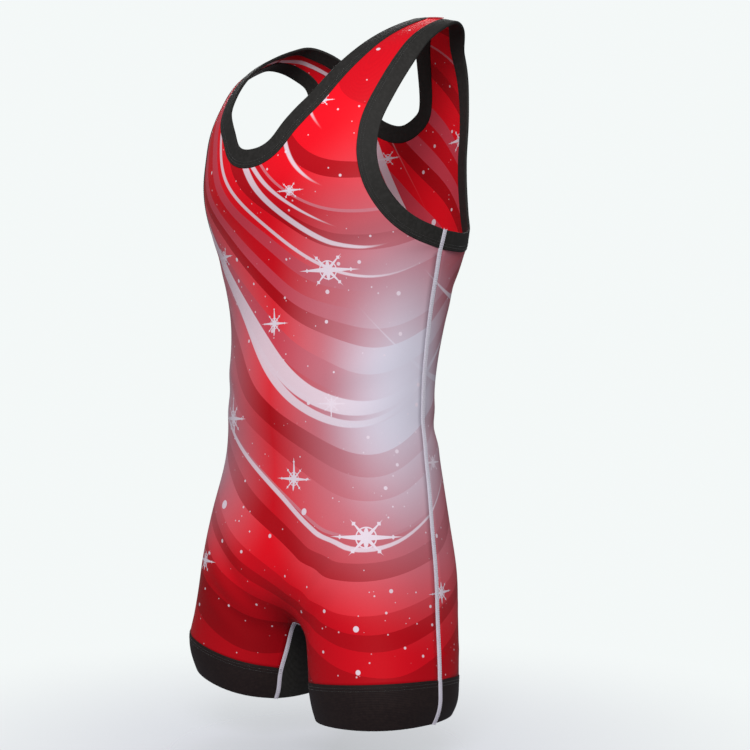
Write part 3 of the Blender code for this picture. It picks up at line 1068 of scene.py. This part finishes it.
RIPPLE, RIPPLES = 0.05, 4.5  # metres that the waves and the halo wander, and how often
DAPPLE, DAPPLES = 0.22, 7
GLOW_LOW = 0.62  # less makes the glow taller
STREAKS = 0.045  # the halo reaches this much farther on the brightest wave
MISTY, MIST_SHARE = (0.15, 0.03), 0.88
GLOWING = (0.070, -0.02)
CRESCENT_SHARE = 0.85
DOTS = ((52, 0.0026, 0.85), (90, 0.0011, 0.7), (12, 0.0052, 0.95))  # per metre, radius, share

dyed, given, out = new_group("dyed_print", ["Place"], [], ["Color"], "Color")
do, place = partial(calc, dyed), given["Place"]
mix = partial(blend_colours, dyed)
ripple = put(dyed, "TexNoise", place, named={"Scale": RIPPLES, "Detail": 1})
ripple = ripple.outputs["Fac"]
far = calc_vector(dyed, "DISTANCE", place, WAVE_CENTRE)
far = do("ADD", far, do("MULTIPLY", ripple, RIPPLE))
turn = put(dyed, "MapRange", far, WAVES_START, WAVES_END).outputs["Result"]
stops = [((at - WAVES_START) / (WAVES_END - WAVES_START), tone) for at, tone in WAVES]
colour = ramp(dyed, turn, stops)
lift = ramp(dyed, turn, [(at, (tone[0] / BRIGHT[0],) * 3) for at, tone in stops])
lift = put(dyed, "SeparateColor", lift).outputs[0]
dapple = put(dyed, "TexNoise", place, named={"Scale": DAPPLES}).outputs["Fac"]
colour = mix(do("MULTIPLY", dapple, DAPPLE), colour, (*DEEP, 1))

_, y, z = put(dyed, "SeparateXYZ", place).outputs
x = put(dyed, "SeparateXYZ", calc_vector(dyed, "ABSOLUTE", place)).outputs["X"]
x, y, z = (do("SUBTRACT", here, middle) for here, middle in zip((x, y, z), GLOW_PLACE))
offset = put(dyed, "CombineXYZ", x, y, do("MULTIPLY", z, GLOW_LOW)).outputs[0]
halo = calc_vector(dyed, "LENGTH", offset)
halo = do("ADD", halo, do("MULTIPLY_ADD", ripple, RIPPLE, -RIPPLE / 2))
halo = do("SUBTRACT", halo, do("MULTIPLY", lift, STREAKS))
colour = mix(do("MULTIPLY", soft_step(dyed, halo, *MISTY), MIST_SHARE), colour, (*MIST, 1))
pale = 0.0
for outer, bitten in CRESCENTS.items():
    for within in bitten:
        pale = do("MAXIMUM", pale, use(dyed, crescent, place, outer, *within))
colour = mix(do("MULTIPLY", pale, CRESCENT_SHARE), colour, (*PALE, 1))
colour = mix(soft_step(dyed, halo, *GLOWING), colour, (*GLOW, 1))
for per_metre, radius, share in DOTS:
    mask = use(dyed, strewn, place, per_metre, radius)
    colour = mix(do("MULTIPLY", mask, share), colour, (*PALE, 1))
feed(dyed, out["Color"], colour)

# %% [markdown]
# ## Finishes
# Stretch jersey has a soft satin gleam from its yarn, the tapes are dull, and thread is a little
# fuzzy. A sparkle is placed on the panels and snapped to the nearest point of the cloth, so its
# heart is on the surface.

# %% Panel finish
SPARKLES = (
    # x, y, z, reach
    (0.10, -0.12, -0.29, 0.036), (0.06, -0.12, -0.20, 0.018), (0.00, -0.13, -0.33, 0.022),
    (0.13, -0.06, -0.56, 0.040), (0.03, -0.12, -0.50, 0.026), (0.16, 0.03, -0.62, 0.022),
    (-0.09, -0.10, -0.44, 0.032), (-0.10, -0.10, -0.26, 0.024), (-0.12, -0.08, -0.60, 0.028),
    (0.10, -0.10, -0.42, 0.018), (0.12, 0.05, -0.12, 0.028), (-0.05, 0.13, -0.22, 0.036),
    (0.05, 0.13, -0.36, 0.028), (-0.08, 0.12, -0.52, 0.036), (0.10, 0.11, -0.58, 0.030),
    (-0.13, 0.06, -0.34, 0.024), (0.15, 0.05, -0.48, 0.020), (-0.15, 0.0, -0.50, 0.030),
    (0.02, 0.12, -0.60, 0.018), (0.09, -0.09, -0.09, 0.014), (-0.02, 0.11, -0.12, 0.020),
)
LOOPS = (0.0009, 0.0007)  # a column's width and a row's height
KNIT_FUZZ, DARK_FUZZ, THREAD_FUZZ = 900.0, 260.0, 1800.0  # lumps per metre
# painted shade in the gaps between the knit loops: its share and its colour
KNIT_GAP_SHADE, KNIT_GAP_SHADE_COLOUR = 0.16, (0.05, 0.0, 0.004, 1)


def places(tree):
    """Where a point of the cloth is, and how far along and up the cloth it is."""
    cut = put(tree, "Attribute", attribute_name="cut").outputs["Vector"]
    return put(tree, "TexCoord").outputs["Object"], cut


def fuzzy(tree, look, place, scale, swing, least):
    """Makes a finish rougher here and there, and gives the fuzz's tone."""
    tone = use(tree, fuzz, place, scale)
    feed(tree, look["Roughness"], calc(tree, "MULTIPLY_ADD", tone, swing, least))
    return tone


panel_finish, tree, look = finish(
    "dyed_knit", Roughness=0.55, Specular_IOR_Level=0.06, Sheen_Weight=0.01, Sheen_Roughness=0.4
)
place, cut = places(tree)
colour = use(tree, dyed, place)
for *spot, reach in SPARKLES:
    mask = use(tree, sparkle, place, surface.find(spot)[0], reach)
    colour = blend_colours(tree, mask, colour, (*PALE, 1))
height = use(tree, knit_loops, cut, *LOOPS)
# painted shade in the gaps between the loops, where their height is low
gap_shade = calc(tree, "MULTIPLY_ADD", height, -KNIT_GAP_SHADE, KNIT_GAP_SHADE)
colour = blend_colours(tree, gap_shade, colour, KNIT_GAP_SHADE_COLOUR)
feed(tree, look["Base Color"], colour)
fuzzy(tree, look, place, KNIT_FUZZ, 0.12, 0.44)
emboss(tree, look, height, 0.35, 0.00012)

# %% Tape, elastic and dark knit finishes
# painted shade in the hollows between the ribs or loops: its share and its colour
DARK_GAP_SHADE, DARK_GAP_SHADE_COLOUR = 0.45, (0.004, 0.004, 0.004, 1)


def dark_finish(name, colour, worn, pitch, depth, group):
    """A dull dark cloth with ribs or loops, painted shade between them, and a fuzz that lightens it
    here and there.
    """
    material, tree, look = finish(name, Roughness=0.7, Specular_IOR_Level=0.14, Sheen_Weight=0.01)
    place, cut = places(tree)
    height = use(tree, group, cut, *pitch)
    tone = fuzzy(tree, look, place, DARK_FUZZ, 0.2, 0.58)
    base = blend_colours(tree, soft_step(tree, tone, 0.35, 0.75), (*colour, 1), (*worn, 1))
    # painted shade in the hollows between the ribs or loops, where their height is low
    gap_shade = calc(tree, "MULTIPLY_ADD", height, -DARK_GAP_SHADE, DARK_GAP_SHADE)
    feed(tree, look["Base Color"], blend_colours(tree, gap_shade, base, DARK_GAP_SHADE_COLOUR))
    emboss(tree, look, height, 0.5, depth)
    return material


tape_finish = dark_finish(
    "folded_tape", (0.0165, 0.0155, 0.0140), (0.0255, 0.0240, 0.0225), (0.0013,), 0.0002, tape_ribs
)
band_finish = dark_finish(
    "leg_elastic", (0.013, 0.007, 0.007), (0.019, 0.011, 0.010), (0.0018,), 0.0003, tape_ribs
)
gusset_finish = dark_finish(
    "gusset_knit", (0.016, 0.015, 0.013), (0.023, 0.022, 0.020), (0.001, 0.0008), 0.0001, knit_loops
)


# %% Thread finishes
def thread_finish(name, colour, shade):
    """Soft spun thread, darker in its hollows."""
    material, tree, look = finish(name, Roughness=0.6, Specular_IOR_Level=0.35, Sheen_Weight=0.25)
    place = put(tree, "TexCoord").outputs["Object"]
    tone = fuzzy(tree, look, place, THREAD_FUZZ, 0.2, 0.5)
    base = blend_colours(tree, soft_step(tree, tone, 0.3, 0.7), (*shade, 1), (*colour, 1))
    feed(tree, look["Base Color"], base)
    return material


pale_thread = thread_finish("pale_thread", (0.66, 0.63, 0.70), (0.48, 0.45, 0.52))
dark_thread = thread_finish("dark_thread", (0.020, 0.020, 0.019), (0.008, 0.008, 0.008))
red_thread = thread_finish("red_thread", (0.45, 0.008, 0.018), (0.25, 0.004, 0.01))

# %% [markdown]
# ## Dress the pieces
# Every piece takes its finish, rides on the one body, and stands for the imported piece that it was
# made from. Each sheet of cloth also says the size it was cut to, lying flat. Such a suit is cut
# small and stretches as it is filled: the panels by an eighth round the body and a twentieth in
# their length, the leg bands by a tenth, and the tapes by a twentieth. A tape's width is the part
# that shows on one side of the cloth.

# %% Dress
TAPE_WIDTH = 0.020
BAND_CUTS = {
    "front_left": ((0.190, 0.050), 0.0093),
    "front_right": ((0.188, 0.044), 0.0082),
    "back_left": ((0.190, 0.050), 0.0085),
    "back_right": ((0.188, 0.044), 0.0077),
}
worn = [
    # piece, finish, node, slot, the flat piece's width and length, its area; metres
    (front, panel_finish, "front_panel", "knit", (0.44, 0.76), 0.203),
    (rear, panel_finish, "back_panel", "knit", (0.43, 0.74), 0.202),
    (gusset, gusset_finish, "crotch_gusset", "gusset_knit", (0.075, 0.245), 0.0125),
    (neck, tape_finish, "neck_binding", "binding", (TAPE_WIDTH, 0.93), 0.0186),
]
for side, fold in arms.items():
    node = f"armhole_binding_{side}"
    worn.append((fold, tape_finish, node, "binding", (TAPE_WIDTH, 0.67), 0.0134))
for key, band in bands.items():
    worn.append((band, band_finish, f"hem_band_{key}", "leg_band", *BAND_CUTS[key]))
for piece, material, node, slot, *_ in worn:
    piece.data.materials.clear()
    piece.data.materials.append(material)
    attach(piece, "root")
    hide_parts(node)
for pieces, material in (
    (seams, pale_thread), (shoulder_seams, red_thread), (rows.values(), dark_thread)
):
    for piece in pieces:
        piece.data.shade_smooth()
        piece.data.materials.append(material)
        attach(piece, "root")
bpy.data.meshes.remove(grain)
print(len(worn), "pieces of cloth dressed")

# %% Say what each sheet was cut to
on_it = {name: [stitches] for name, stitches in rows.items()}
on_it["front_cloth"] = seams + shoulder_seams
for piece, *_, flat, area in worn:
    now = sum(face.area for face in piece.data.polygons) / 2
    print(f"{piece.name}: cut {area:.4f}, worn about {now:.4f} square metres")
